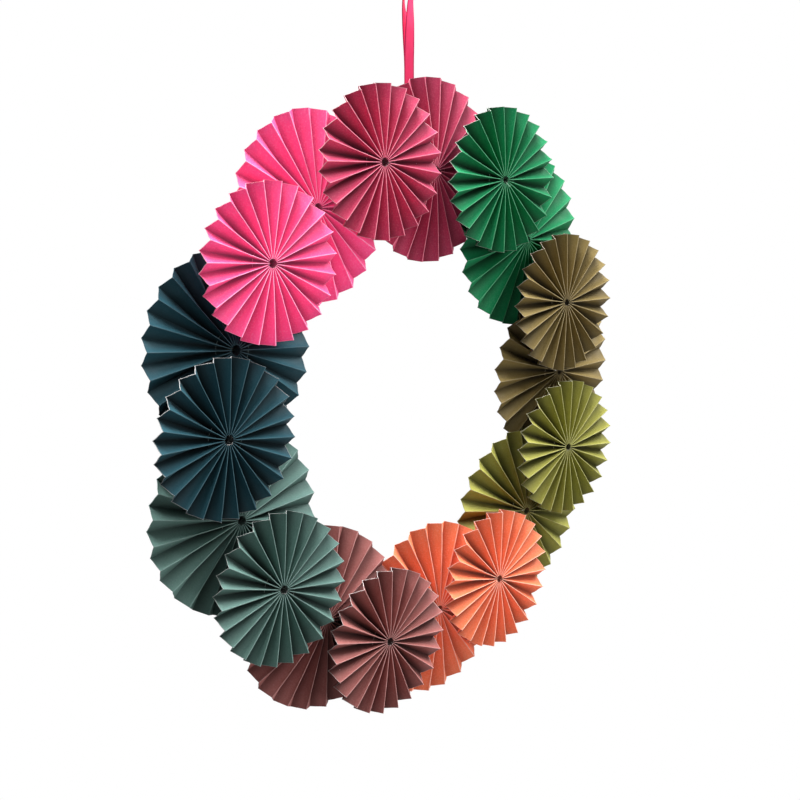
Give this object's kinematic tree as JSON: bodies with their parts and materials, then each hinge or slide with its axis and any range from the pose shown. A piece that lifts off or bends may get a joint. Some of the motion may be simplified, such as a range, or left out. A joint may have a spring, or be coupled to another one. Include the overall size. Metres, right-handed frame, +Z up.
{
  "type": "paper flower wreath",
  "caption": "Hanging wreath of pleated paper rosettes in two overlapping layers on a ring of card, with a ribbon loop to hang it by.",
  "frame": {"origin": "inside top of the ribbon's loop, where it rests on what the wreath hangs from", "axes": "+Z up, -Y out of the wreath's front, +X to the right as seen from the front"},
  "size_m": [0.4005, 0.0325, 0.4803],
  "materials": {
    "paper_raspberry": "matte",
    "paper_green": "matte",
    "paper_khaki": "matte",
    "paper_olive": "matte",
    "paper_orange": "matte",
    "paper_maroon": "matte",
    "paper_sage": "matte",
    "paper_petrol": "matte",
    "paper_pink": "matte",
    "card": "matte",
    "ribbon": "satin"
  },
  "bodies": {
    "root": {"large_rosette_raspberry": "paper_raspberry", "large_rosette_green": "paper_green", "large_rosette_khaki": "paper_khaki", "large_rosette_olive": "paper_olive", "large_rosette_orange": "paper_orange", "large_rosette_maroon": "paper_maroon", "large_rosette_sage": "paper_sage", "large_rosette_petrol": "paper_petrol", "large_rosette_pink": "paper_pink", "small_rosette_raspberry": "paper_raspberry", "small_rosette_green": "paper_green", "small_rosette_khaki": "paper_khaki", "small_rosette_olive": "paper_olive", "small_rosette_orange": "paper_orange", "small_rosette_maroon": "paper_maroon", "small_rosette_sage": "paper_sage", "small_rosette_petrol": "paper_petrol", "small_rosette_pink": "paper_pink", "backing_ring": "card", "hanging_ribbon": "ribbon"}
  },
  "joints": []
}
